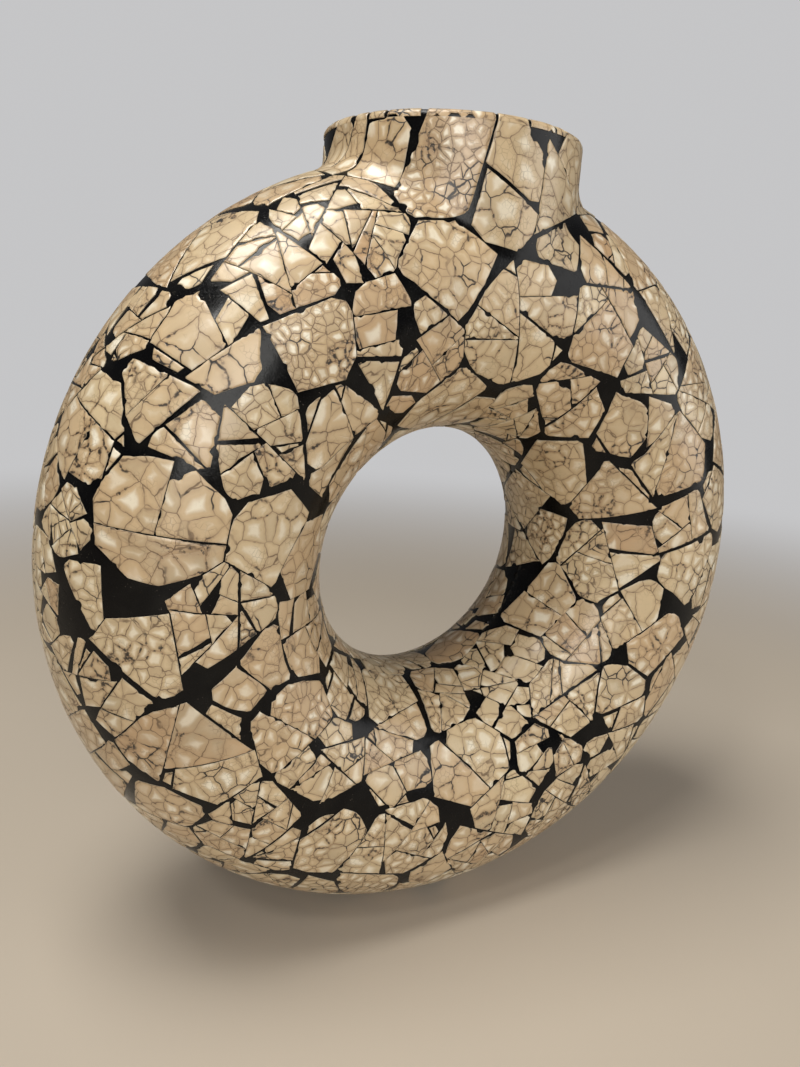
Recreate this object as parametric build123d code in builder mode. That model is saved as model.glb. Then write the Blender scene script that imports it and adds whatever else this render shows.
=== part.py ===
from build123d import *
import math
import os
import random

# A ring-shaped flower vase that stands on edge, faced with a mosaic of broken shell.
# The ring lies in the XZ plane and its hole runs along Y. The front faces -Y.
# The origin is on the floor, under the middle of the ring. All lengths are in millimetres.

# Driving sizes of the vase, over the finished shell facing
ring_width = 400.0
tube_width = 132.0
neck_width = 128.0
mouth_width = 112.0
rim_above_ring = 9.0
foot_cut = 2.0

# Layers of the wall, from the outside in
shell_thickness = 0.9
ground_thickness = 1.1
core_wall = 4.0

# Rounding where the neck grows out of the ring, and of the lip of the mouth
root_round = 12.0
rim_round = 3.0

# Strips of glass tape bonded over the two seams, inside the hollow ring
seam_strip_width = 26.0
seam_strip_thickness = 1.5
seam_strip_end_gap = 1.0

# Flat plate under the ring
base_plate_thickness = 2.0
base_plate_edge = 1.0

# The broken shell: the width of a piece, and the narrowest joint between two pieces
piece_width = 40.0
joint_width = 0.7
corner_loss = 6.0
cell_depth = 12.5
cell_reach = 48.0
neighbour_reach = 110.0

# Shares and counts that shape the mosaic
piece_width_shares = (0.55, 0.7, 0.85, 1.0, 1.2)
packing_share = 0.95
corner_loss_shares = (0.0, 0.0, 0.0, 0.35, 0.6, 1.0)
neck_dart_share = 0.07
cell_depth_shares = (1.0, 0.9, 0.8)
joint_tilt_degrees = 2.0
tilt_room_share = 1.0
piece_limit = 265
dart_limit = 4200
neighbour_limit = 16
pattern_seed = 11

# Bands of the tube and sectors of the ring that the pieces of shell are grouped by
hours = 12
hours_in_hole = 6
tube_bands = ("edge", "front", "hole", "back")
neck_sides = ("back", "right", "front", "left")

# Sizes that follow from those above
tube_radius = tube_width / 2
neck_radius = neck_width / 2
mouth_radius = mouth_width / 2
tube_centre_radius = (ring_width - tube_width) / 2
ring_height = ring_width / 2 - foot_cut
crown_height = ring_height + tube_centre_radius
rim_height = ring_height + ring_width / 2 + rim_above_ring
core_inset = shell_thickness + ground_thickness
hollow_inset = core_inset + core_wall
collar_radius = neck_radius - core_inset
ring_axis = Axis((0, 0, ring_height), (0, 1, 0))


# Solid forms that the layers are cut from

def tube_form(inset):
    """The ring alone, with its surface moved inwards by inset."""
    with BuildPart() as form:
        with BuildSketch(Plane.YZ):
            with Locations((0, crown_height)):
                Circle(tube_radius - inset)
        revolve(axis=ring_axis)
    return form.part


def vase_form(inset):
    """Ring and neck as one filled form, flat underneath, moved inwards by inset."""
    with BuildPart() as form:
        add(tube_form(inset))
        with BuildSketch(Plane.XY.offset(crown_height)):
            Circle(neck_radius - inset)
        extrude(amount=rim_height - inset - crown_height)
        above_crown = form.edges().filter_by(GeomType.BSPLINE)
        root = [edge for edge in above_crown if edge.center().Z > crown_height]
        fillet(root, root_round + inset)
        rim = form.edges().filter_by(GeomType.CIRCLE).sort_by(Axis.Z)[-1]
        fillet(rim, rim_round - inset)
        split(bisect_by=Plane.XY.offset(base_plate_thickness), keep=Keep.TOP)
    return form.part


def neck_plug(radius):
    """A round plug down the middle of the neck, from above the rim to the tube's centre."""
    with BuildPart() as plug:
        with BuildSketch(Plane.XY.offset(crown_height)):
            Circle(radius)
        extrude(amount=rim_height + root_round - crown_height)
    return plug.part


hollow = tube_form(hollow_inset)
facing_form = vase_form(0)
ground_form = vase_form(shell_thickness)
core_form = vase_form(core_inset)
collar_plug = neck_plug(collar_radius)
mouth_plug = neck_plug(mouth_radius)


# Moulded core: two halves of the hollow ring, parted on its middle plane

with BuildPart() as core_back:
    add(core_form)
    add(hollow, mode=Mode.SUBTRACT)
    add(collar_plug, mode=Mode.SUBTRACT)
    split(bisect_by=Plane.XZ, keep=Keep.BOTTOM)

with BuildPart() as core_front:
    mirror(core_back.part, about=Plane.XZ)


# Neck collar, which drops into the opening at the top and lines the mouth

with BuildPart() as neck_collar:
    add(core_form)
    add(collar_plug, mode=Mode.INTERSECT)
    add(mouth_plug, mode=Mode.SUBTRACT)
    add(hollow, mode=Mode.SUBTRACT)


# Seam strips, which bridge the two halves on the inside of the hollow

def seam_strip(side):
    """A strip round the hollow: side 1 is under the outer edge, side -1 is beside the hole."""
    strip_radius = tube_radius - hollow_inset
    with BuildPart() as strip:
        with BuildSketch(Plane.YZ):
            with Locations((0, crown_height)):
                Circle(strip_radius)
                Circle(strip_radius - seam_strip_thickness, mode=Mode.SUBTRACT)
            with Locations((0, crown_height + side * strip_radius / 2)):
                Rectangle(seam_strip_width, strip_radius, mode=Mode.INTERSECT)
        revolve(axis=ring_axis)
        if side > 0:
            add(neck_plug(collar_radius + seam_strip_end_gap), mode=Mode.SUBTRACT)
    return strip.part


with BuildPart() as seam_strip_outer:
    add(seam_strip(1))

with BuildPart() as seam_strip_hole:
    add(seam_strip(-1))


# Black ground, the coat that beds the shell, parted like the core

with BuildPart() as ground_back:
    add(ground_form)
    add(core_form, mode=Mode.SUBTRACT)
    add(mouth_plug, mode=Mode.SUBTRACT)
    split(bisect_by=Plane.XZ, keep=Keep.BOTTOM)

with BuildPart() as ground_front:
    mirror(ground_back.part, about=Plane.XZ)


# Base plate, which fills the flat that is cut across the bottom of the ring

flat_depth = foot_cut + base_plate_thickness
flat_half_length = math.sqrt(flat_depth * (ring_width - flat_depth))
flat_half_width = math.sqrt(flat_depth * (tube_width - flat_depth))

with BuildPart() as base_plate:
    with BuildSketch(Plane.XY):
        Ellipse(flat_half_length - base_plate_edge, flat_half_width - base_plate_edge)
    extrude(amount=base_plate_thickness)
    fillet(base_plate.edges().group_by(Axis.Z)[0], base_plate_edge / 2)


# Shell facing: darts give the middle of each piece, and its neighbours fence it in

facing = facing_form - ground_form - mouth_plug
dice = random.Random(pattern_seed)


def on_ring(hour_angle, tube_angle):
    """A point of the ring's surface and the direction straight out of it."""
    outward = Vector(
        math.cos(tube_angle) * math.sin(hour_angle),
        -math.sin(tube_angle),
        math.cos(tube_angle) * math.cos(hour_angle),
    )
    tube_centre = Vector(math.sin(hour_angle), 0, math.cos(hour_angle)) * tube_centre_radius
    return Vector(0, 0, ring_height) + tube_centre + outward * tube_radius, outward


def inside_tube(point):
    """Whether a point is buried in the ring."""
    from_axis = math.hypot(point.X, point.Z - ring_height)
    return math.hypot(from_axis - tube_centre_radius, point.Y) < tube_radius


def dart():
    """One random spot on the vase: its zone's name, its place and its outward direction."""
    turn = dice.uniform(0, math.tau)
    if dice.random() < neck_dart_share:
        outward = Vector(math.sin(turn), math.cos(turn), 0)
        height = dice.uniform(crown_height, rim_height - rim_round)
        side = neck_sides[round(turn / (math.pi / 2)) % len(neck_sides)]
        place = outward * neck_radius + Vector(0, 0, height)
        return None if inside_tube(place) else ("neck_" + side, place, outward)
    tube_turn = dice.uniform(0, math.tau)
    width_here = tube_centre_radius + tube_radius * math.cos(tube_turn)
    if dice.random() * (tube_centre_radius + tube_radius) > width_here:
        return None
    place, outward = on_ring(turn, tube_turn)
    if place.Z > crown_height and math.hypot(place.X, place.Y) < neck_radius:
        return None
    band = tube_bands[round(tube_turn / (math.pi / 2)) % len(tube_bands)]
    count = hours_in_hole if band == "hole" else hours
    hour = round(turn / math.tau * count) % count * hours // count
    return f"{band}_{hour or hours:02d}", place, outward


seeds = []
for _ in range(dart_limit):
    spot = dart()
    if spot is None or len(seeds) == piece_limit:
        continue
    reach = piece_width / 2 * dice.choice(piece_width_shares)
    zone, place, outward = spot
    here = tuple(place)
    if all(math.dist(here, tuple(other[1])) > packing_share * (reach + other[3]) for other in seeds):
        seeds.append((zone, place, outward, reach))


def outline(fences, place, outward, height):
    """Corners of a piece at a height over the plane that touches the vase at its middle."""
    level = Plane(origin=place + outward * height, z_dir=outward)
    across, along = level.x_dir, level.y_dir
    corners = [
        (-cell_reach, -cell_reach),
        (cell_reach, -cell_reach),
        (cell_reach, cell_reach),
        (-cell_reach, cell_reach),
    ]
    for direction, post in fences:
        slope_x = direction.dot(across)
        slope_y = direction.dot(along)
        limit = direction.dot(post - level.origin)
        kept = []
        for (x0, y0), (x1, y1) in zip(corners, corners[1:] + corners[:1]):
            over0 = slope_x * x0 + slope_y * y0 - limit
            over1 = slope_x * x1 + slope_y * y1 - limit
            if over0 <= 0:
                kept.append((x0, y0))
            if (over0 < 0) != (over1 < 0) and over0 != over1:
                share = over0 / (over0 - over1)
                kept.append((x0 + share * (x1 - x0), y0 + share * (y1 - y0)))
        corners = kept
    return [level.origin + across * x + along * y for x, y in corners]


def fences_round(index):
    """Planes that bound one piece: each is a direction out of the piece and a point on it."""
    _, place, outward, reach = seeds[index]
    near = []
    for other, (_, there, _, other_reach) in enumerate(seeds):
        distance = (there - place).length
        if other != index and distance < neighbour_reach:
            near.append((distance, other, there, other_reach))
    fences = []
    for distance, _, there, other_reach in sorted(near)[:neighbour_limit]:
        direction = (there - place) * (1 / distance)
        midway = (distance**2 + reach**2 - other_reach**2) / (2 * distance)
        tilt = dice.gauss(0, joint_tilt_degrees)
        setback = joint_width / 2 + abs(math.sin(math.radians(tilt))) * reach * tilt_room_share
        tilted = direction.rotate(Axis((0, 0, 0), outward), tilt)
        fences.append((tilted, place + direction * midway - tilted * setback))
    for corner in outline(fences, place, outward, 0):
        loss = corner_loss * dice.choice(corner_loss_shares)
        if loss > 0:
            direction = (corner - place).normalized()
            fences.append((direction, corner - direction * loss))
    return fences


def shell_piece(index):
    """One piece of shell: the part of the facing that its fences leave."""
    _, place, outward, _ = seeds[index]
    fences = fences_round(index)
    for depth_share in cell_depth_shares:
        top = outline(fences, place, outward, cell_depth * depth_share)
        bottom = outline(fences, place, outward, -cell_depth * depth_share)
        with BuildPart() as piece:
            add(facing)
            ConvexPolyhedron(top + bottom, mode=Mode.INTERSECT)
        solid = piece.part.solids().sort_by(SortBy.VOLUME)[-1]
        # A piece as thin as the facing is kept, and a thicker one is cut again
        if solid.volume <= shell_thickness * solid.area / 2:
            break
    return solid


shell_zones = {}
for index, seed in enumerate(seeds):
    shell_zones.setdefault("shell_" + seed[0], []).append(shell_piece(index))


# Labels, and one file for each sub-part

core_front.part.label = "core_front"
core_back.part.label = "core_back"
neck_collar.part.label = "neck_collar"
seam_strip_outer.part.label = "seam_strip_outer"
seam_strip_hole.part.label = "seam_strip_hole"
ground_front.part.label = "ground_front"
ground_back.part.label = "ground_back"
base_plate.part.label = "base_plate"

os.makedirs("parts", exist_ok=True)
export_step(core_front.part, "parts/core_front.step")
export_step(core_back.part, "parts/core_back.step")
export_step(neck_collar.part, "parts/neck_collar.step")
export_step(seam_strip_outer.part, "parts/seam_strip_outer.step")
export_step(seam_strip_hole.part, "parts/seam_strip_hole.step")
export_step(ground_front.part, "parts/ground_front.step")
export_step(ground_back.part, "parts/ground_back.step")
export_step(base_plate.part, "parts/base_plate.step")

for name, pieces in sorted(shell_zones.items()):
    export_step(Compound(label=name, children=pieces), f"parts/{name}.step")
    print(name, len(pieces), "pieces")
print("pieces of shell in all:", len(seeds))
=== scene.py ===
# %% [markdown]
# # A ring vase faced with broken shell
# The vase is a fat ring that stands on edge, with a short wide neck on top. Its whole skin is a mosaic of
# broken, crackled shell, set in black resin and rubbed down until shell and resin are almost level. The
# solids come from CAD as a fixed frame. This script gives them their looks: each CAD piece of shell is broken
# further into the fragments that the eye sees, and every material is made from nodes.

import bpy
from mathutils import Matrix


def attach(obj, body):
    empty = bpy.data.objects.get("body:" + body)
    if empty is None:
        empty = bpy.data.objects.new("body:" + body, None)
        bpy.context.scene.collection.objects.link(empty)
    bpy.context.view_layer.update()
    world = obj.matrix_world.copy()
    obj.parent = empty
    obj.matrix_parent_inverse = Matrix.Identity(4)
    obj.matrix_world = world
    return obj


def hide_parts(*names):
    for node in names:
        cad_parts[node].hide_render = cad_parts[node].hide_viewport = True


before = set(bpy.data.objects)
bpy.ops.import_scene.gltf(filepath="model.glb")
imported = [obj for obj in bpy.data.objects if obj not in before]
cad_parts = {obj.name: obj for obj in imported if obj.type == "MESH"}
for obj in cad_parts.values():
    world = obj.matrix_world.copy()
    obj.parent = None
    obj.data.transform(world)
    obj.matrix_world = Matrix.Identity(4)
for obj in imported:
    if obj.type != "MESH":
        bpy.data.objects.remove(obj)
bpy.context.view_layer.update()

# %% [markdown]
# Numpy works out the places of many points at once, and bpy makes the objects. One seeded generator supplies
# all the chance in the script, so that each run breaks the shell in the same way.

# %% Tools and chance
import math

import bmesh
import bpy
import numpy as np
from mathutils import Matrix, Vector
from mathutils.kdtree import KDTree

seed = 3
chance = np.random.default_rng(seed)


def put_in_scene(name, data):
    """An object that shows some data, linked to the scene."""
    made = bpy.data.objects.new(name, data)
    bpy.context.scene.collection.objects.link(made)
    return made


print("a generator with this seed starts at", round(np.random.default_rng(seed).random(), 3))

# %% [markdown]
# ## The skin of the vase
# Every fragment of shell has to lie on the same curved skin, so the script first needs to know that skin
# exactly. It could be looked up on a mesh, but a mesh is made of flats. A ring, a neck, the hollow round the
# neck's root and the rounded lip are all simple shapes, so their distances are worked out instead.

# %% Sizes of the vase, in metres
ring_radius = 0.134
tube_radius = 0.066
ring_height = 0.198
neck_radius = 0.064
mouth_radius = 0.056
rim_height = 0.407
lip_round = 0.003
root_round = 0.012
foot_height = 0.002
crown_height = ring_height + ring_radius
print("rim at", rim_height, "and the tube's middle line at most at", crown_height)


# %% Distance from the bare ring and from the neck
def over_ring(points):
    """Height of points over the bare ring, and the direction straight out of it."""
    flat = points * (1, 0, 1) - (0, 0, ring_height)
    reach = np.linalg.norm(flat, axis=1, keepdims=True)
    out = points - (0, 0, ring_height) - flat * (ring_radius / reach)
    far = np.linalg.norm(out, axis=1)
    return far - tube_radius, out / far[:, None]


def over_neck(points):
    """Height of points over the neck and its rounded lip, and the direction out of it."""
    wide = np.linalg.norm(points[:, :2], axis=1, keepdims=True)
    side = np.hstack([points[:, :2] / wide, np.zeros_like(wide)])
    over = np.hstack([wide - neck_radius, points[:, 2:] - rim_height]) + lip_round
    outside = np.maximum(over, 0)
    far = np.linalg.norm(outside, axis=1)
    flat = np.stack([over[:, 0] >= over[:, 1], over[:, 0] < over[:, 1]], 1).astype(float)
    lean = np.where(far[:, None] > 0, outside / np.maximum(far, 1e-9)[:, None], flat)
    out = side * lean[:, :1] + np.array([0, 0, 1.0]) * lean[:, 1:]
    return np.where(far > 0, far, over.max(1)) - lip_round, out


# %% [markdown]
# Where the neck grows out of the ring, the moulded core has a rounded hollow. It is the track of a ball that
# rolls round the neck and touches ring and neck at once, so the surface there is one ball radius from the
# track.

# %% The rolling ball of the root, and the whole skin
def root_ball(turn):
    """Middle of the ball that rests against both the ring and the neck, at a turn round the neck."""
    x = (neck_radius + root_round) * np.cos(turn)
    y = (neck_radius + root_round) * np.sin(turn)
    reach = ring_radius + np.sqrt((tube_radius + root_round) ** 2 - y**2)
    return np.stack([x, y, ring_height + np.sqrt(reach**2 - x**2)], 1)


def skin(points):
    """Height of points over the vase, and the direction straight out of it."""
    height, out = over_ring(points)
    neck_over, neck_out = over_neck(points)
    on_neck = (neck_over < height) & (points[:, 2] > crown_height)
    height = np.where(on_neck, neck_over, height)
    out = np.where(on_neck[:, None], neck_out, out)
    turn = np.arctan2(points[:, 1], points[:, 0])
    for _ in range(6):
        ball = root_ball(turn)
        ahead = (root_ball(turn + 1e-4) - ball) * 1e4
        turn = turn + ((points - ball) * ahead).sum(1) / (ahead**2).sum(1)
    ball = root_ball(turn)
    from_ball = points - ball
    far = np.linalg.norm(from_ball, axis=1)
    to_neck = -np.stack([np.cos(turn), np.sin(turn), np.zeros_like(turn)], 1)
    to_ring = -over_ring(ball)[1]
    turned = np.cross(to_neck, to_ring)
    in_root = (
        ((np.cross(to_neck, from_ball) * turned).sum(1) > 0)
        & ((np.cross(from_ball, to_ring) * turned).sum(1) > 0)
        & ((from_ball * (to_neck + to_ring)).sum(1) > 0)
        & (points[:, 2] > crown_height)
    )
    height = np.where(in_root, root_round - far, height)
    out = np.where(in_root[:, None], -from_ball / np.maximum(far, 1e-9)[:, None], out)
    return height, out


probe = np.array([[0.2, 0, ring_height], [0, -neck_radius, 0.39], [0, -0.06, rim_height]])
print("heights of three points of the skin, all near zero:", skin(probe)[0].round(5))

# %% [markdown]
# ## Reading the pieces of shell from the frame
# Each CAD node of shell holds a few separate solids. What matters of one is the outline of its outer face, so
# the script keeps the faces whose corners all lie on the skin, groups those that touch, and walks round each
# group.


# %% Outlines of the CAD pieces
weld_distance = 4e-6
skin_slack = 0.0003
least_outer_face = 2e-5


def welded(node):
    """The mesh of a CAD node, open for editing, with the points that its faces share joined up."""
    mesh = bmesh.new()
    mesh.from_mesh(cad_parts[node].data)
    bmesh.ops.remove_doubles(mesh, verts=mesh.verts, dist=weld_distance)
    return mesh


def places_of(verts):
    """Places of some points of a mesh."""
    return np.array([tuple(vert.co) for vert in verts])


def walk_round(faces):
    """The longest closed loop of edges round some faces, as points in order."""
    step = {}
    numbers = {face.index for face in faces}
    for face in faces:
        for corner in face.loops:
            if not any(other is not face and other.index in numbers for other in corner.edge.link_faces):
                step[corner.vert] = corner.link_loop_next.vert
    longest = []
    while step:
        here, path = next(iter(step)), []
        while here in step:
            path.append(here)
            here = step.pop(here)
        longest = max(longest, path, key=len)
    return places_of(longest)


def outer_outlines(node):
    """The outline of each piece of shell in a CAD node, with the direction that the piece faces."""
    mesh = welded(node)
    on_skin = skin(places_of(mesh.verts))[0] > -skin_slack
    mesh.verts.index_update()
    mesh.faces.index_update()
    left = {face.index: face for face in mesh.faces if all(on_skin[vert.index] for vert in face.verts)}
    outlines = []
    while left:
        group = [left.pop(next(iter(left)))]
        for face in group:
            touching = sorted({other.index for edge in face.edges for other in edge.link_faces} & left.keys())
            group += [left.pop(number) for number in touching]
        facing = np.array(sum((face.normal * face.calc_area() for face in group), Vector()))
        if sum(face.calc_area() for face in group) > least_outer_face:
            outlines.append((walk_round(group), facing / np.linalg.norm(facing)))
    mesh.free()
    return outlines


shell_nodes = sorted(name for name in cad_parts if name.startswith("shell_"))
outlines = {name: outer_outlines(name) for name in shell_nodes}
print("pieces of shell read from", len(shell_nodes), "nodes:", sum(map(len, outlines.values())))

# %% [markdown]
# ## Breaking the shell
# A shell that is pressed flat breaks into shards with straight sides that don't quite meet again: some breaks
# stay hairlines, others open into long wedges. A shard is drawn flat, as a polygon in the plane that touches
# the vase, and every break is a straight cut across it. That is far quicker than cutting solids, and as
# crisp. Lengths are in metres and areas in square metres.


# %% Cutting a flat shape
def trim(shape, post, away):
    """What a cut along a line through post leaves of a shape, on the side that away points out of."""
    over = (shape - post) @ away
    kept = []
    for here, there, gone, next_gone in zip(shape, np.roll(shape, -1, 0), over, np.roll(over, -1)):
        if gone <= 0:
            kept.append(here)
        if (gone < 0) != (next_gone < 0) and gone != next_gone:
            kept.append(here + (there - here) * gone / (gone - next_gone))
    return np.array(kept).reshape(-1, shape.shape[1])


def area_and_middle(shape):
    """Area of a flat shape and its centre of area."""
    x, y = shape.T
    x2, y2 = np.roll(shape, -1, 0).T
    cross = x * y2 - x2 * y
    area = cross.sum() / 2
    if abs(area) < 1e-9:
        return 0.0, shape.mean(0)
    return area, np.array([((x + x2) * cross).sum(), ((y + y2) * cross).sum()]) / (6 * area)


def turned(direction, angle):
    """A flat direction turned by an angle."""
    cos, sin = math.cos(angle), math.sin(angle)
    return np.array([direction[0] * cos - direction[1] * sin, direction[0] * sin + direction[1] * cos])


square = np.array([[0, 0], [0.02, 0], [0.02, 0.02], [0, 0.02]])
print("half of a 20 mm square:", area_and_middle(trim(square, square.mean(0), np.array([1.0, 0])))[0])


# %% [markdown]
# The outlines from CAD have many points along curves. Only the true corners are kept, those that stand more
# than a fraction of a millimetre off the line between their neighbours, so that each side is one straight
# break.

# %% Corners and close points of an outline
def corners_only(shape, slack=0.0005):
    """The corners of a closed outline, without the points that only follow a gentle curve."""
    start = np.argmax(np.linalg.norm(shape - shape.mean(0), axis=1))
    ring = np.roll(shape, -start, 0)
    keep = {0, int(np.argmax(np.linalg.norm(ring - ring[0], axis=1)))}
    spans = [(0, max(keep)), (max(keep), len(ring))]
    while spans:
        first, last = spans.pop()
        if last - first < 2:
            continue
        base = ring[last % len(ring)] - ring[first]
        side = np.array([-base[1], base[0]]) / max(np.linalg.norm(base), 1e-9)
        off = np.abs((ring[first + 1:last] - ring[first]) @ side)
        if off.max() > slack:
            middle = first + 1 + int(np.argmax(off))
            keep.add(middle)
            spans += [(first, middle), (middle, last)]
    return ring[sorted(keep)]


def close_points(shape, step):
    """The outline of a flat shape as points about a step apart, and the direction inward at each."""
    points = []
    for here, there in zip(shape, np.roll(shape, -1, 0)):
        count = max(1, round(np.linalg.norm(there - here) / step))
        points += [here + (there - here) * share for share in np.arange(count) / count]
    spaced = [points[0]]
    for point in points[1:]:
        from_last, from_first = np.linalg.norm(point - spaced[-1]), np.linalg.norm(point - spaced[0])
        if from_last > 0.6 * step and from_first > 0.4 * step:
            spaced.append(point)
    points = np.array(spaced)
    ahead = np.roll(points, -1, 0) - np.roll(points, 1, 0)
    far = np.maximum(np.linalg.norm(ahead, axis=1), 1e-9)
    return points, np.stack([-ahead[:, 1], ahead[:, 0]], 1) / far[:, None]


with_spare_point = np.insert(square, 1, (0.01, 0), 0)
print("a square with a spare point on one side keeps", len(corners_only(with_spare_point)), "corners")


# %% Loosened sides and snapped shards
least_loose_side = 0.006
whole_side_share = 0.72
side_gaps = [0.0002, 0.0004, 0.0008, 0.0014]
snap_gaps = [0.00012, 0.0002, 0.0004, 0.0008, 0.0014, 0.002]
snap_gap_odds = [0.36, 0.24, 0.16, 0.11, 0.08, 0.05]


def loosen(shape):
    """Some sides of a piece broken back, so that the joint beside them opens into a channel or wedge."""
    for here, there in zip(shape, np.roll(shape, -1, 0)):
        length = np.linalg.norm(there - here)
        if length < least_loose_side or chance.random() < whole_side_share:
            continue
        side = np.array([there[1] - here[1], here[0] - there[0]]) / length
        back = chance.choice(side_gaps)
        post = (here + there) / 2 - side * back
        shape = trim(shape, post, turned(side, back / length * chance.uniform(-1.8, 1.8)))
    return shape


def snap(shape):
    """Two halves of a shard, broken across its length and drawn apart a little."""
    middle = area_and_middle(shape)[1]
    along = np.linalg.svd(shape - middle)[2][0]
    reach = np.ptp((shape - middle) @ along)
    away = turned(along, chance.normal(0, 0.4))
    post = middle + along * reach * chance.uniform(-0.2, 0.2)
    gap = chance.choice(snap_gaps, p=snap_gap_odds)
    breadth = np.ptp((shape - middle) @ turned(away, math.pi / 2))
    taper = gap * chance.uniform(-0.95, 0.95) / breadth
    return [trim(shape, post - way * away * gap / 2, turned(way * away, way * taper)) for way in (1, -1)]


print("gaps between two snapped halves, in mm:", [gap * 1000 for gap in snap_gaps])

# %% [markdown]
# Loose corners of thin shell crumble. Some are lost, which leaves the black triangles where joints meet, some
# stay behind as separate chips, and a few shards keep a round side that follows the edge of the whole shell.


# %% Lost corners, chips and round sides
crumble_share = 0.22
corner_losses = [0.0008, 0.0012, 0.002, 0.003, 0.006]
least_crumble_reach = 0.006
least_chip_loss = 0.004
chip_share = 0.6
least_shard = 6e-6


def crumble(shape):
    """A shard without some of its corners, and the chips that stayed in the resin."""
    middle = area_and_middle(shape)[1]
    chips = []
    for corner in shape.copy():
        reach = np.linalg.norm(corner - middle)
        if chance.random() > crumble_share or reach < least_crumble_reach:
            continue
        away = turned((corner - middle) / reach, chance.normal(0, 0.35))
        loss = min(chance.choice(corner_losses), 0.4 * reach)
        chip = trim(shape, corner - away * loss, -away)
        shape = trim(shape, corner - away * loss, away)
        if loss > least_chip_loss and len(chip) > 2 and chance.random() < chip_share:
            centre = area_and_middle(chip)[1]
            chips.append(centre + (chip - centre) * chance.uniform(0.6, 0.78))
    return shape, chips


def round_off(shape):
    """A shard with one side rounded in an arc."""
    middle = area_and_middle(shape)[1]
    start = turned(np.array([1.0, 0]), chance.uniform(0, math.tau))
    reach = ((shape - middle) @ start).max()
    for step in np.linspace(-0.9, 0.9, 13):
        way = turned(start, step)
        shape = trim(shape, middle + way * reach * 0.95, way)
    return shape


def shards(shape, largest):
    """All the shards that one CAD piece breaks into."""
    waiting, done = [loosen(shape)], []
    while waiting:
        piece = waiting.pop()
        area = area_and_middle(piece)[0] if len(piece) > 2 else 0
        if area > largest * chance.uniform(0.6, 1.5):
            waiting += snap(piece)
        elif area > least_shard:
            done.append(piece)
    return done


trial = shards(np.array([[0, 0], [0.04, 0], [0.04, 0.04], [0, 0.04]]), 5e-4)
print("a 40 mm square broke into", len(trial), "shards")

# %% [markdown]
# ## From a flat shard to a curved one
# A flat shard is laid on the vase by sliding its points straight down until they meet the skin. The side of a
# shard is a row of points about 1.5 mm apart, pushed in here and there where the edge chipped.


# %% Laying points on the skin
side_step = 0.0015
side_roughness = [0.00005, 0.00012, 0.00025]


def settle(points, facing):
    """Points slid along a direction until they lie on the skin, and the direction out of it there."""
    for _ in range(12):
        height, out = skin(points)
        slope = np.maximum((out * facing).sum(1), 0.3)
        points = points - facing * (height / slope)[:, None]
    height, out = skin(points)
    points = points - out * height[:, None]
    points[:, 2] = np.clip(points[:, 2], foot_height, rim_height)
    return points, out


def jagged(shape):
    """The side of a shard as closely set points with small chips out of it."""
    points, inward = close_points(shape, side_step)
    count = len(points)
    bends = np.array([0, 1])
    if count > 7:
        bends = np.sort(chance.choice(count, max(2, count // 3), replace=False))
    set_back = chance.exponential(chance.choice(side_roughness), len(bends))
    push = np.interp(np.arange(count), bends, set_back, period=count) + chance.exponential(0.00003, count)
    for _ in range(chance.poisson(count / 8)):
        push[chance.integers(count)] += chance.exponential(0.00025)
    for _ in range(chance.poisson(count / 80)):
        bite = (chance.integers(count) + np.arange(chance.integers(2, 4))) % count
        push[bite] += chance.uniform(0.0008, 0.0018)
    room = math.sqrt(max(area_and_middle(points)[0], 0)) * 0.09
    return points + inward * np.minimum(push, room)[:, None], inward


print("points round a 20 mm square:", len(close_points(square, side_step)[0]))


# %% [markdown]
# A shard is built as rings of points: a foot in the resin, the top of the broken edge, the inner side of a
# narrow worn bevel, and three rings on the way to its middle. Real shards never lie quite level, so each gets
# its own small tilt and bow, which is what makes neighbouring pieces catch the light differently.

# %% Rings of one shard
ring_steps = ((0.00000, 0.00075), (0.00000, 0.00016), (0.00028, 0.00000), (0.00140, 0.00000))
ring_shares = (0.45, 0.8)
inland_start = 0.0015
inland_slope = 0.3
most_rise = 0.00011


def shard_rings(shape):
    """Flat places and depths of a shard's points, ring by ring, with the middle point last."""
    side, inward = jagged(shape)
    area, middle = area_and_middle(side)
    size = math.sqrt(max(area, 1e-8))
    rings, depths, inland = [], [], []
    for inset, depth in ring_steps:
        inset = min(inset, 0.12 * size)
        rings.append(side + inward * inset)
        depths.append(np.full(len(side), depth))
        inland.append(np.full(len(side), inset if depth < 0.0001 else -depth))
    start = rings[-1]
    for share in ring_shares:
        rings.append(start + (middle - start) * share)
        depths.append(np.zeros(len(side)))
        inland.append(np.full(len(side), inland_start + share * size * inland_slope))
    rings.append(middle[None])
    depths.append(np.zeros(1))
    inland.append(np.array([inland_start + size * inland_slope]))
    flat = np.concatenate(rings)
    off = flat - middle
    tilt = chance.normal(0, 0.006, 2)
    bow = chance.uniform(-0.1, 0.3) / (2 * tube_radius)
    rise = most_rise * np.tanh((off @ tilt - bow * (off**2).sum(1)) / most_rise)
    depth = np.concatenate(depths) + rise.max() - rise
    return flat, depth, np.concatenate(inland), len(side)


def shard_faces(count, first):
    """Faces that join a shard's rings, by the numbers of their points."""
    faces = []
    rings = len(ring_steps) + len(ring_shares)
    for ring in range(rings - 1):
        low, high = first + ring * count, first + (ring + 1) * count
        for i in range(count):
            ahead = (i + 1) % count
            faces.append((low + i, low + ahead, high + ahead, high + i))
    low, middle = first + (rings - 1) * count, first + rings * count
    return faces + [(low + i, low + (i + 1) % count, middle) for i in range(count)]


print("rings of points in a shard:", len(ring_steps) + len(ring_shares), "and a middle point")

# %% [markdown]
# The look of the crackle differs from shard to shard. Those traits are drawn once per shard and kept on the
# mesh as attributes, which a material can read: an offset that moves the pattern, how tan the shell is, how
# wide its crackle is, how stained it is, and how pale its cells are.


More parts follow.
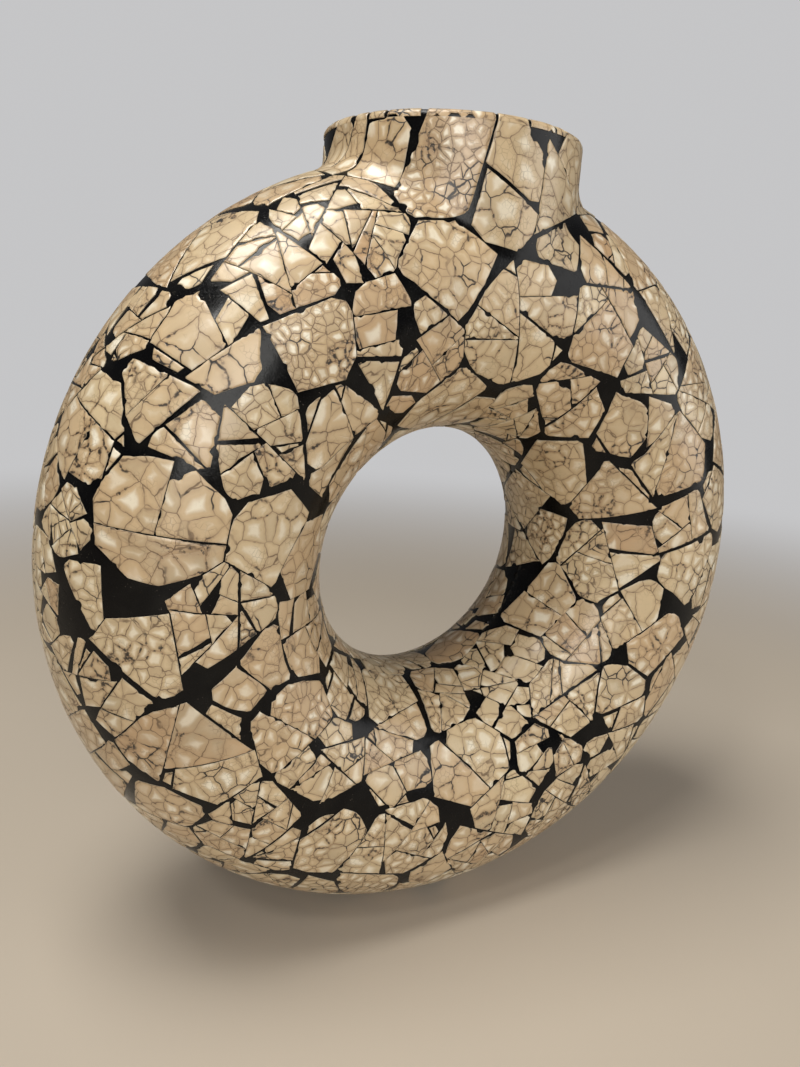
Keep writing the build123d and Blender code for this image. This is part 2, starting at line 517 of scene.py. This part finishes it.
# %% Traits and the object for a zone
def draw_traits():
    """Tan share, crackle width share, stain share and paleness share of one shard."""
    return np.array([
        np.clip(chance.beta(1.3, 2.6) + 0.25 * (chance.random() < 0.16), 0, 1),
        chance.beta(1.6, 1.6),
        chance.beta(1.2, 3.0),
        chance.beta(2.0, 2.0),
    ])


chalk_traits = np.array([0.0, 0.4, 0.0, 1.0])
pattern_reach = 40


class Zone:
    """The shards of one zone of the vase, gathered before they become one object."""

    def __init__(self):
        self.places, self.faces, self.inland, self.traits, self.offsets = [], [], [], [], []
        self.count = 0

    def add(self, flat, depth, inland, side_count, lay, traits):
        places, out = lay(flat)
        places = places - out * depth[:, None]
        places[:, 2] = np.maximum(places[:, 2], foot_height)
        faces = shard_faces(side_count, self.count)
        self.places.append(places)
        self.inland.append(inland)
        self.faces += faces
        self.traits.append(np.tile(traits, (len(faces), 1)))
        self.offsets.append(np.tile(chance.uniform(-pattern_reach, pattern_reach, 3), (len(faces), 1)))
        self.count += len(places)

    def make(self, name):
        mesh = bpy.data.meshes.new(name)
        mesh.from_pydata(np.concatenate(self.places).tolist(), [], self.faces)
        kept_on_mesh = (
            ("inland", "FLOAT", "POINT", "value", self.inland),
            ("traits", "FLOAT_COLOR", "FACE", "color", self.traits),
            ("offset", "FLOAT_VECTOR", "FACE", "vector", self.offsets),
        )
        for title, kind, domain, field, values in kept_on_mesh:
            numbers = np.concatenate(values).astype(np.float32).ravel()
            mesh.attributes.new(title, kind, domain).data.foreach_set(field, numbers)
        mesh.shade_smooth()
        mesh.set_sharp_from_angle(angle=math.radians(50))
        return put_in_scene(name, mesh)


print("four traits of a trial shard:", draw_traits().round(2))

# %% [markdown]
# ## The lip of the mouth
# At the mouth the shell was rubbed down to a narrow rounded band. Each wall shard that reaches the lip goes
# on as a strip of the band with the same width and the same traits, so the black joints run on over the lip.

# %% Laying a strip over the lip
band_on_wall = 0.0006
mouth_clearance = 0.0004
round_start = rim_height - lip_round
band_start = round_start - band_on_wall
arc_length = lip_round * math.pi / 2
flat_lip = neck_radius - lip_round - mouth_radius - mouth_clearance
band_length = round_start - band_start + arc_length + flat_lip


def lay_on_lip(flat):
    """Places on the lip for points given as distance round the neck and distance up and over the lip."""
    turn = flat[:, 0] / neck_radius
    up = np.where(flat[:, 1] < 0.0008, 0, flat[:, 1]) - (round_start - band_start)
    bend = np.clip(up / lip_round, 0, math.pi / 2)
    radius = neck_radius - lip_round + lip_round * np.cos(bend) - np.maximum(up - arc_length, 0)
    height = round_start + lip_round * np.sin(bend) + np.minimum(up, 0)
    out = np.stack([np.cos(bend) * np.cos(turn), np.cos(bend) * np.sin(turn), np.sin(bend)], 1)
    return np.stack([radius * np.cos(turn), radius * np.sin(turn), height], 1), out


def lip_strip(first, last):
    """The flat outline of a strip of the lip between two distances round the neck."""
    low, high = 0.0001, band_length - chance.uniform(0, 0.0006)
    skew = chance.normal(0, 0.0006, 2)
    return np.array([[first, low], [last, low], [last - abs(skew[0]), high], [first + abs(skew[1]), high]])


print("the band over the lip is", round(band_length * 1000, 1), "mm wide")

# %% [markdown]
# The joints between the CAD pieces are as wide as their widest wedge. On the vase most are hairlines that
# open here and there, so the script measures the joint all round each piece and moves its sides out to narrow
# it.

# %% The joint beside a piece
rim_step = 0.001
joint_reach = 0.005
hairline_half = 0.0001
most_moved_out = 0.0024
owners, rim_places = [], []
for number, (outline, _) in enumerate(piece for name in shell_nodes for piece in outlines[name]):
    for here, there in zip(outline, np.roll(outline, -1, 0)):
        count = max(1, round(np.linalg.norm(there - here) / rim_step))
        rim_places += [here + (there - here) * share / count for share in range(count)]
        owners += [number] * count
rims = KDTree(len(rim_places))
for number, place in enumerate(rim_places):
    rims.insert(place, number)
rims.balance()


def joint_beside(place, own):
    """How far a place on the outline of one piece is from the nearest other piece."""
    near = rims.find_range(place, joint_reach)
    return min((far for _, number, far in near if owners[number] != own), default=joint_reach)


def narrowing(place, own):
    """How far the side of a piece is moved out at a place."""
    if place[2] > band_start - 0.0004:
        return 0.0
    return min(joint_beside(place, own) / 2 - hairline_half, most_moved_out)


print("points round the CAD pieces:", len(rim_places))

# %% [markdown]
# Now every CAD piece is flattened, broken and laid back on the vase. Three in five shards of a piece share
# its traits, because they come from the same shell.


# %% Break and lay one CAD piece
shard_sizes = [2.2e-4, 4e-4, 6e-4, 9e-4, 1.3e-3]
neck_times_larger = 2.2
least_laid = 5e-6
round_side_share = 0.22
same_shell_share = 0.6
chalk_chip_share = 0.35
lip_catch = 0.0007


def break_piece(zone, outline, facing, own_number):
    """Adds the shards of one CAD piece to its zone, and returns each with its traits and how it is laid."""
    wall = trim(outline, np.array([0, 0, band_start]), np.array([0, 0, 1.0]))
    if len(wall) < 3:
        return []
    middle = wall.mean(0)
    across = np.cross((0, 0, 1.0) if abs(facing[2]) < 0.9 else (1.0, 0, 0), facing)
    across = across / np.linalg.norm(across)
    along = np.cross(facing, across)
    flat = corners_only(np.stack([(wall - middle) @ across, (wall - middle) @ along], 1))

    def lay(points):
        places, out = settle(middle + points[:, :1] * across + points[:, 1:] * along, facing)
        places[:, 2] = np.where(places[:, 2] > band_start - lip_catch, band_start, places[:, 2])
        return places, out

    points, inward = close_points(flat, 0.002)
    out_by = np.array([narrowing(place, own_number) for place in lay(points)[0]])
    flat = corners_only(points - inward * out_by[:, None], 0.0004)
    laid = []
    on_neck = abs(facing[2]) < 0.35 and middle[2] > crown_height
    own = draw_traits()
    largest = chance.choice(shard_sizes) * (neck_times_larger if on_neck else 1)
    for shape in shards(flat, largest):
        if chance.random() < round_side_share:
            shape = round_off(shape)
        shape, chips = crumble(shape)
        traits = own + chance.normal(0, 0.05, 4) if chance.random() < same_shell_share else draw_traits()
        for piece in [shape] + chips:
            chalky = piece is not shape and chance.random() < chalk_chip_share
            if len(piece) > 2 and area_and_middle(piece)[0] > least_laid:
                zone.add(*shard_rings(piece), lay, chalk_traits if chalky else np.clip(traits, 0, 1))
        laid.append((shape, traits, lay))
    return laid


print("shards are broken to between", min(shard_sizes) * 1e4, "and", max(shard_sizes) * 1e4, "square cm")


# %% Carry the shards over the lip
lip_reach = 0.0012
least_strip = 0.003


def carry_over_lip(zone, laid):
    """Adds strips of the lip above the shards that reach it, and returns the spans that they take up."""
    spans = []
    for shape, traits, lay in laid:
        if len(shape) < 3:
            continue
        places = lay(shape)[0]
        high = places[places[:, 2] > band_start - lip_reach]
        if len(high) > 1:
            turns = np.unwrap(np.sort(np.arctan2(high[:, 1], high[:, 0])))
            if np.ptp(turns) > math.pi:
                turns = np.where(turns > 0, turns, turns + math.tau)
            spans.append((turns.min() * neck_radius, turns.max() * neck_radius, traits))
    for first, last, traits in spans:
        if last - first > least_strip:
            strip = lip_strip(first + hairline_half, last - hairline_half)
            zone.add(*shard_rings(strip), lay_on_lip, np.clip(traits, 0, 1))
    return spans


# %% All zones
zones, lip_spans, piece_count = {}, [], 0
for name in shell_nodes:
    zones[name] = Zone()
    laid = []
    for outline, facing in outlines[name]:
        laid += break_piece(zones[name], outline, facing, piece_count)
        piece_count += 1
    lip_spans += carry_over_lip(zones[name], laid)
print("shard points:", sum(zone.count for zone in zones.values()), "spans at the lip:", len(lip_spans))

# %% [markdown]
# Gaps in the lip wider than a few millimetres are filled with loose strips, as a maker would do to keep the
# lip whole. They go to the neck zone that lies on that side.

# %% Loose strips in the gaps of the lip
once_round = math.tau * neck_radius
mark_count = 1200
least_lip_gap = 0.0035
strip_joint = 0.0006
sides = ("right", "back", "left", "front")
covered = np.zeros(mark_count, bool)
for first, last, _ in lip_spans:
    marks = np.arange(first, last, once_round / (2 * mark_count))
    covered[(marks / once_round * mark_count).astype(int) % mark_count] = True
bare = np.flatnonzero(~covered)
runs = np.split(bare, np.flatnonzero(np.diff(bare) > 1) + 1)
for run in runs:
    first, last = run[0] / mark_count * once_round, (run[-1] + 1) / mark_count * once_round
    while last - first > least_lip_gap:
        width = min(chance.uniform(0.006, 0.02), last - first)
        side = sides[round((first + width / 2) / once_round * 4) % 4]
        strip = lip_strip(first + strip_joint, first + width - strip_joint)
        zones["shell_neck_" + side].add(*shard_rings(strip), lay_on_lip, draw_traits())
        first += width
print("bare stretches of the lip:", len(runs))

# %% [markdown]
# Each zone becomes one object, which stands for its CAD node and takes the shell finish's slot.

# %% Objects of shell
shell_objects = []
for name, zone in zones.items():
    made = zone.make("faced_" + name)
    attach(made, "root")
    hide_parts(name)
    shell_objects.append(made)
face_count = sum(len(made.data.polygons) for made in shell_objects)
print("objects of shell:", len(shell_objects), "faces:", face_count)

# %% [markdown]
# ## The black ground
# The CAD ground lies a full shell thickness under the skin. On the real vase the resin was poured over the
# shards and rubbed down, so it stands almost level with them. The CAD mesh is copied, made finer, and its
# outer face raised along the skin's own direction.

# %% Raised ground
resin_depth = 0.00046
longest_edge = 0.005
outer_face_low, outer_face_high = -0.0013, -0.0005


def raise_ground(node):
    """A copy of a CAD ground node with its outer face just under the skin."""
    mesh = welded(node)
    long_edges = [edge for edge in mesh.edges if edge.calc_length() > longest_edge]
    bmesh.ops.subdivide_edges(mesh, edges=long_edges, cuts=1, use_grid_fill=True)
    points = places_of(mesh.verts)
    height, out = skin(points)
    outer = (height > outer_face_low) & (height < outer_face_high)
    outer &= np.linalg.norm(points[:, :2], axis=1) > mouth_radius + 1e-5
    raised = points - out * (height + resin_depth)[:, None]
    points = np.where(outer[:, None], raised, points)
    points[:, 2] = np.maximum(points[:, 2], foot_height)
    for vert, place in zip(mesh.verts, points):
        vert.co = place
    made_mesh = bpy.data.meshes.new("resin_" + node)
    mesh.to_mesh(made_mesh)
    mesh.free()
    made_mesh.shade_smooth()
    made_mesh.set_sharp_from_angle(angle=math.radians(40))
    made = put_in_scene("resin_" + node, made_mesh)
    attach(made, "root")
    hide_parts(node)
    print(node, "raised points:", int(outer.sum()), "of", len(points))
    return made


grounds = [raise_ground("ground_front"), raise_ground("ground_back")]

# %% [markdown]
# ## Materials as sums
# Shader maths reads best as plain expressions. The class below wraps the output of a node. Adding,
# subtracting or multiplying wires, or dividing a number by one, adds a Math node, and one method adds any
# other node.


# %% A wire that can be used in sums
class Wire:
    """An output of a node in the material that is being made."""

    tree = None

    def __init__(self, socket):
        self.socket = socket

    @staticmethod
    def node(kind, settings, sockets, output=0):
        """Adds a node: its type, its settings, then the values or wires of its sockets."""
        made = Wire.tree.nodes.new("ShaderNode" + kind)
        for name, value in settings.items():
            setattr(made, name, value)
        for name, value in sockets.items():
            if isinstance(value, Wire):
                Wire.tree.links.new(value.socket, made.inputs[name])
            else:
                made.inputs[name].default_value = value
        return Wire(made.outputs[output])

    def sum(self, operation, *values):
        return Wire.node("Math", {"operation": operation}, dict(enumerate(values)))

    def __add__(self, other):
        return self.sum("ADD", self, other)

    def __sub__(self, other):
        return self.sum("SUBTRACT", self, other)

    def __mul__(self, other):
        return self.sum("MULTIPLY", self, other)

    def __rtruediv__(self, other):
        return self.sum("DIVIDE", other, self)

    __radd__ = __add__
    __rmul__ = __mul__


# %% Small helpers for wires
def between(value, low, high, at_low=0.0, at_high=1.0):
    """A smooth change from one number to another while a wire goes from low to high."""
    settings = {"interpolation_type": "SMOOTHSTEP"}
    return Wire.node("MapRange", settings, {0: value, 1: low, 2: high, 3: at_low, 4: at_high})


def mix(base, top, share):
    """One colour laid over another by a share."""
    return Wire.node("Mix", {"data_type": "RGBA"}, {0: share, 6: base, 7: top}, 2)


def shift(place, by):
    """A place moved by a vector."""
    return Wire.node("VectorMath", {"operation": "ADD"}, {0: place, 1: by})


def enlarge(place, times):
    """A place, or a pattern's coordinates, scaled by a number."""
    return Wire.node("VectorMath", {"operation": "SCALE"}, {0: place, "Scale": times})


def stretch(place, times):
    """A place scaled by its own number each way."""
    return Wire.node("VectorMath", {"operation": "MULTIPLY"}, {0: place, 1: times})


def part(vector, number):
    """One of the three numbers of a wire that carries a vector or a colour."""
    return Wire.node("SeparateXYZ", {}, {0: vector}, number)


def drawn(name, output):
    """A value that was drawn per shard and kept on the mesh."""
    return Wire.node("Attribute", {"attribute_name": name}, {}, output)


# %% Patterns and bump
def noise(place, scale, detail=3.0, output="Fac"):
    """A soft cloudy pattern with so many clouds in a metre."""
    return Wire.node("TexNoise", {}, {"Vector": place, "Scale": scale, "Detail": detail}, output)


def cells(place, scale, feature, output):
    """A pattern of angular cells: how far a place is from their edges, or each cell's own colour."""
    return Wire.node("TexVoronoi", {"feature": feature}, {"Vector": place, "Scale": scale}, output)


def threads(place, direction):
    """Parallel threads of the seam tape."""
    settings = {"bands_direction": direction}
    return Wire.node("TexWave", settings, {"Vector": place, "Scale": 320.0, "Distortion": 0.5}, "Fac")


def bump(height, strength=0.7):
    """The surface's direction where a height in metres is pressed into it."""
    return Wire.node("Bump", {}, {"Height": height, "Distance": 1.0, "Strength": strength}, "Normal")


# %% A finish from a function
def finish(name, build):
    """A material whose look is put together by a function that returns the surface's sockets."""
    material = bpy.data.materials.new(name)
    material.use_nodes = True
    Wire.tree = material.node_tree
    Wire.tree.nodes.clear()
    place = Wire.node("TexCoord", {}, {}, "Object")
    surface = Wire.node("BsdfPrincipled", {}, build(place))
    Wire.tree.links.new(surface.socket, Wire.tree.nodes.new("ShaderNodeOutputMaterial").inputs["Surface"])
    print("finish", name, "with", len(Wire.tree.nodes), "nodes")
    return material


# %% [markdown]
# ## The crackled shell
# Each shard is crazed like old glaze: thin brown lines part rounded cells that are pale in the middle and tan
# at their borders. A Voronoi texture gives such cells, and its distance to the nearest edge gives lines of an
# even width. The width of the cells and the tint come from the shard's own traits.

# %% Colours of shell
cream = (0.61, 0.485, 0.30, 1)
tan = (0.47, 0.305, 0.165, 1)
stone = (0.385, 0.31, 0.2, 1)
chalk = (0.83, 0.77, 0.63, 1)
halo_tan = (0.34, 0.215, 0.11, 1)
raw_side = (0.5, 0.43, 0.31, 1)
line_brown = (0.125, 0.075, 0.038, 1)
pitch = (0.010, 0.008, 0.007, 1)
print("linear colours of the shell, from the palest to the darkest:", chalk[:3], "to", pitch[:3])


# %% The shell finish
def shell_look(place):
    """Sockets of the shell's surface."""
    traits = drawn("traits", "Color")
    tan_share, width_share, stain_share = part(traits, 0), part(traits, 1), part(traits, 2)
    pale_share = drawn("traits", "Alpha")
    offset = drawn("offset", "Vector")
    inland = drawn("inland", "Fac")

    # Cells from 4 to 13 mm wide, with borders that wander a little
    cell = width_share * 0.0085 + 0.0042
    own_place = shift(enlarge(place, 1 / cell), offset)
    drift = shift(noise(own_place, 1.4, 2.0, "Color"), (-0.5, -0.5, -0.5))
    cell_place = shift(own_place, enlarge(drift, 0.35))
    to_edge = cells(cell_place, 1.0, "DISTANCE_TO_EDGE", "Distance")
    edge_mm = to_edge * cell * 1000
    cell_colour = cells(cell_place, 1.0, "F1", "Color")
    luck, second_luck = part(cell_colour, 0), part(cell_colour, 1)

    # Where each kind of mark shows, from 0 to 1
    cloud = noise(place, 55.0, 4.0)
    grain = noise(place, 900.0, 3.0)
    lines = between(edge_mm, 0.06, 0.26, 1.0, 0.0) * between(noise(place, 130.0), 0.36, 0.56, 0.4, 1.0)
    halo = between(edge_mm, 0.0, 1.5, 1.0, 0.0)
    heart = between(to_edge, 0.15, 0.36) * between(luck, 0.1, 0.6) * (0.5 + 0.5 * pale_share)
    fine = cells(shift(enlarge(place, 390.0), offset), 1.0, "DISTANCE_TO_EDGE", "Distance")
    fine_lines = between(fine, 0.02, 0.07, 1.0, 0.0) * between(noise(place, 70.0), 0.5, 0.62)
    crack = between(edge_mm, 0.12, 0.34, 1.0, 0.0) * between(noise(place, 42.0, 4.0), 0.57, 0.62)
    stained = between(noise(place, 48.0, 3.0), 0.53, 0.62)
    pits = between(edge_mm, 0.25, 0.8, 1.0, 0.0) * between(noise(place, 520.0, 2.0), 0.5, 0.57) * stained
    edge_dirt = between(inland, 0.0001, 0.0007, 1.0, 0.0) * between(noise(place, 240.0), 0.42, 0.6)
    broken_side = between(inland, -0.0001, -0.00001, 1.0, 0.0)

    # The marks are laid over the shell's own colour one by one
    colour = mix(mix(cream, tan, tan_share), stone, between(cloud, 0.4, 0.75) * stain_share)
    colour = mix(colour, stone, between(second_luck, 0.5, 1.0) * 0.3)
    colour = mix(colour, halo_tan, halo * (0.36 + 0.34 * stained))
    colour = mix(colour, chalk, heart * 0.95)
    colour = mix(colour, stone, between(grain, 0.55, 0.8) * 0.25)
    colour = mix(colour, line_brown, fine_lines * 0.35)
    colour = mix(colour, line_brown, lines * 0.85)
    colour = mix(colour, pitch, crack * 0.95)
    colour = mix(colour, pitch, pits * 0.9)
    colour = mix(colour, line_brown, edge_dirt * 0.3)
    colour = mix(colour, raw_side, broken_side * 0.6)

    pillow = between(to_edge, 0.0, 0.3) * 0.00005
    height = pillow - lines * 0.00005 - crack * 0.0001 - pits * 0.0001 + grain * 0.00002 + cloud * 0.0001
    return {
        "Base Color": colour,
        "Roughness": between(cloud, 0.3, 0.7, 0.27, 0.42) + lines * 0.2 + halo * 0.05,
        "Normal": bump(height),
        "Coat Weight": 0.25,
        "Coat Roughness": 0.18,
        "IOR": 1.5,
    }


shell_finish = finish("crackled_shell", shell_look)
for made in shell_objects:
    made.data.materials.append(shell_finish)

# %% [markdown]
# ## The black resin
# The resin is black and rubbed to a gloss. It stands in slow waves, has a fine grain from the rubbing, and
# holds specks of shell dust. Where a lamp shines on it, the grain turns it grey.

# %% The resin finish
resin_black = (0.0015, 0.0015, 0.0018, 1)
resin_worn = (0.005, 0.0048, 0.0045, 1)
shell_dust = (0.12, 0.10, 0.08, 1)


def resin_look(place):
    """Sockets of the resin's surface."""
    grain = noise(place, 1500.0, 4.0)
    waves = noise(place, 90.0, 3.0)
    dust = cells(place, 700.0, "F1", "Distance")
    specks = between(dust, 0.1, 0.17, 1.0, 0.0) * between(noise(place, 200.0), 0.55, 0.62)
    black = mix(resin_black, resin_worn, between(waves, 0.4, 0.7))
    return {
        "Base Color": mix(black, shell_dust, specks * 0.6),
        "Roughness": between(grain, 0.35, 0.7, 0.13, 0.28),
        "Normal": bump(grain * 0.00004 + waves * 0.00025 + specks * 0.00003, 0.8),
        "IOR": 1.28,
    }


resin_finish = finish("black_resin", resin_look)
for made in grounds:
    made.data.materials.clear()
    made.data.materials.append(resin_finish)

# %% [markdown]
# ## Inside and underneath
# The moulded core and the collar of the mouth are brushed with brown-black lacquer, which leaves streaks
# round the bore. The two seam strips are woven glass tape soaked in resin, and the base plate is pressed
# black felt. These CAD solids have the right shape already, so they stay and only get a finish.


# %% Lacquer, tape and felt
lacquer_dark, lacquer_brown = (0.020, 0.016, 0.013, 1), (0.060, 0.046, 0.034, 1)
tape_dark, tape_pale = (0.30, 0.28, 0.21, 1), (0.52, 0.50, 0.42, 1)
felt_black, felt_grey = (0.010, 0.010, 0.011, 1), (0.035, 0.034, 0.033, 1)


def lacquer_look(place):
    """Sockets of the brushed lacquer inside the mouth and on the core."""
    streaks = noise(stretch(place, (60.0, 60.0, 900.0)), 1.0, 4.0)
    blotch = noise(place, 30.0, 3.0)
    return {
        "Base Color": mix(lacquer_dark, lacquer_brown, between(streaks, 0.35, 0.75) * blotch),
        "Roughness": between(blotch, 0.3, 0.7, 0.38, 0.6),
        "Normal": bump(streaks * 0.00012 + blotch * 0.0002),
    }


def tape_look(place):
    """Sockets of the woven glass tape."""
    weave = threads(place, "Y") * threads(place, "DIAGONAL")
    return {
        "Base Color": mix(tape_dark, tape_pale, weave),
        "Roughness": between(noise(place, 80.0), 0.3, 0.7, 0.35, 0.6),
        "Normal": bump(weave * 0.0002, 0.8),
    }


def felt_look(place):
    """Sockets of the pressed felt under the foot."""
    fibre = noise(stretch(place, (900.0, 300.0, 900.0)), 1.0, 6.0)
    return {
        "Base Color": mix(felt_black, felt_grey, between(fibre, 0.35, 0.7)),
        "Roughness": between(fibre, 0.3, 0.7, 0.85, 0.98),
        "Normal": bump(fibre * 0.0003, 1.0),
    }


lacquer = finish("brown_lacquer", lacquer_look)
tape = finish("glass_tape", tape_look)
felt = finish("pressed_felt", felt_look)
carried = {
    "core_front": lacquer, "core_back": lacquer, "neck_collar": lacquer,
    "seam_strip_outer": tape, "seam_strip_hole": tape, "base_plate": felt,
}
for node, material in carried.items():
    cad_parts[node].data.materials.clear()
    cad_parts[node].data.materials.append(material)
print("nodes that keep their CAD shape:", ", ".join(carried))

# %% [markdown]
# ## The room for the picture
# The floor is a wide plain disc. Near the vase it is a matt surface, so it takes the shadow of the vase and
# throws soft light up at it. Further off the camera sees it turn into the same pale grey as the world behind,
# so that no horizon cuts through the picture.


# %% Floor
backdrop_grey = (0.66, 0.66, 0.67, 1)
floor_brown, floor_pale = (0.47, 0.405, 0.33, 1), (0.51, 0.44, 0.355, 1)
floor_reach, floor_sides = 30, 64
turns = np.linspace(0, math.tau, floor_sides, endpoint=False)
floor_mesh = bpy.data.meshes.new("floor")
floor_rim = [(floor_reach * math.cos(turn), floor_reach * math.sin(turn), 0) for turn in turns]
floor_mesh.from_pydata(floor_rim, [], [tuple(range(floor_sides))])
floor = put_in_scene("floor", floor_mesh)

floor_finish = bpy.data.materials.new("pale_floor")
floor_finish.use_nodes = True
Wire.tree = floor_finish.node_tree
Wire.tree.nodes.clear()
ground_place = Wire.node("TexCoord", {}, {}, "Object")
floor_colour = mix(floor_brown, floor_pale, noise(ground_place, 3.0, 2.0))
matt = Wire.node("BsdfPrincipled", {}, {"Base Color": floor_colour, "Roughness": 0.6})
glow = Wire.node("Emission", {}, {"Color": backdrop_grey, "Strength": 0.85})
far_off = between(Wire.node("VectorMath", {"operation": "LENGTH"}, {0: ground_place}, "Value"), 0.45, 1.5)
seen = Wire.node("LightPath", {}, {}, "Is Camera Ray")
Wire.tree.links.new(
    Wire.node("MixShader", {}, {0: far_off * seen, 1: matt, 2: glow}).socket,
    Wire.tree.nodes.new("ShaderNodeOutputMaterial").inputs["Surface"],
)
floor_mesh.materials.append(floor_finish)
print("floor of", len(floor_rim), "sides")

# %% World
world = bpy.data.worlds.new("studio")
bpy.context.scene.world = world
world.use_nodes = True
Wire.tree = world.node_tree
Wire.tree.nodes.clear()
seen = Wire.node("LightPath", {}, {}, "Is Camera Ray")
sky = Wire.node("Background", {}, {"Color": backdrop_grey, "Strength": 0.16 + 0.69 * seen})
Wire.tree.links.new(sky.socket, Wire.tree.nodes.new("ShaderNodeOutputWorld").inputs["Surface"])
print("world nodes:", len(Wire.tree.nodes))

# %% [markdown]
# ## Light
# A broad soft lamp overhead gives the white shine on the shoulder. A second from the camera's side lights the
# front evenly, a small one puts the shine on the root of the neck, and a weak one from the right keeps the
# dark side open.


# %% Lamps
def lamp(name, place, target, size, power, colour):
    """A square area lamp at a place, aimed at a target."""
    data = bpy.data.lights.new(name, "AREA")
    data.size = size
    data.energy = power
    data.color = colour
    made = put_in_scene(name, data)
    made.location = place
    made.rotation_euler = (Vector(target) - Vector(place)).to_track_quat("-Z", "Y").to_euler()


lamp("overhead", (-0.5, -0.05, 1.8), (0, 0, 0.25), 0.75, 24, (1.0, 0.985, 0.94))
lamp("front", (-0.75, -2.0, 0.95), (0, 0, 0.2), 1.2, 24, (1.0, 0.985, 0.95))
lamp("side", (-1.25, -0.75, 1.75), (0, 0, 0.3), 0.25, 5, (1.0, 0.99, 0.96))
lamp("right", (1.6, -1.2, 0.7), (0, 0, 0.2), 1.4, 13, (0.99, 0.985, 0.98))

# %% [markdown]
# ## Camera
# The photograph was taken from close by, a little to the left and just above the ring's middle. The place and
# aim were found by fitting the ring's outline to the picture, for a picture 800 by 1067 across.

# %% Camera
focal_pixels = 820
picture_height = 1067
place = Vector((-0.2226, -0.3830, 0.3127))
yaw, pitch, roll = 0.495, 0.238, 0.063
ahead = Vector((math.sin(yaw) * math.cos(pitch), math.cos(yaw) * math.cos(pitch), -math.sin(pitch)))
right = Vector((math.cos(yaw), -math.sin(yaw), 0))
up = right.cross(ahead)
right, up = math.cos(roll) * right + math.sin(roll) * up, math.cos(roll) * up - math.sin(roll) * right
camera_data = bpy.data.cameras.new("camera")
camera_data.sensor_fit = "VERTICAL"
camera_data.sensor_height = 36
camera_data.lens = camera_data.sensor_height * focal_pixels / picture_height
camera_data.clip_start = 0.01
camera = put_in_scene("camera", camera_data)
camera.matrix_world = Matrix((right, up, -ahead)).transposed().to_4x4()
camera.location = place
bpy.context.scene.camera = camera
bpy.context.scene.view_settings.view_transform = "Standard"
print("lens", round(camera_data.lens, 2), "mm")
